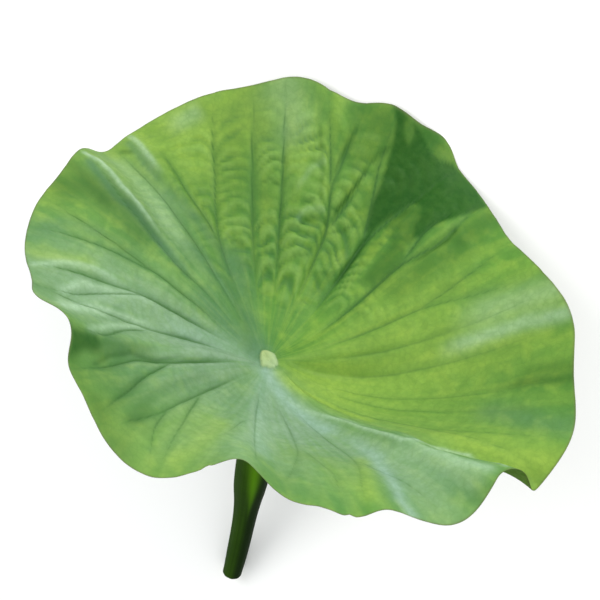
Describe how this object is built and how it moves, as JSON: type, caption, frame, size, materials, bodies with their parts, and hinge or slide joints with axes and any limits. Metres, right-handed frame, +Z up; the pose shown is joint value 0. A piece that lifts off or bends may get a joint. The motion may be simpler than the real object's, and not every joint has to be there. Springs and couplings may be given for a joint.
{
  "type": "lotus leaf",
  "caption": "Cut lotus leaf lying on its edge and stalk end: a wavy funnel-shaped round blade, pale navel, forked ribs and a long round stalk.",
  "frame": {"origin": "centre of the bounding box's base: the leaf lies on two lobes of its rear edge and on the stalk's cut end, at Z = 0", "axes": "+Z up; the blade's upper face looks towards -Y and up; the stalk trails towards +Y; +X is to the right of a viewer who faces the blade from -Y"},
  "size_m": [0.3242, 0.3317, 0.2561],
  "materials": {
    "blade": "fresh waxy leaf, matt, with a blue-grey bloom on the upper face and a paler dull underside",
    "stalk": "dark green stalk, faintly lined lengthwise, satin"
  },
  "bodies": {
    "root": {"leaf_blade": "blade", "leaf_stalk": "stalk"}
  },
  "joints": []
}
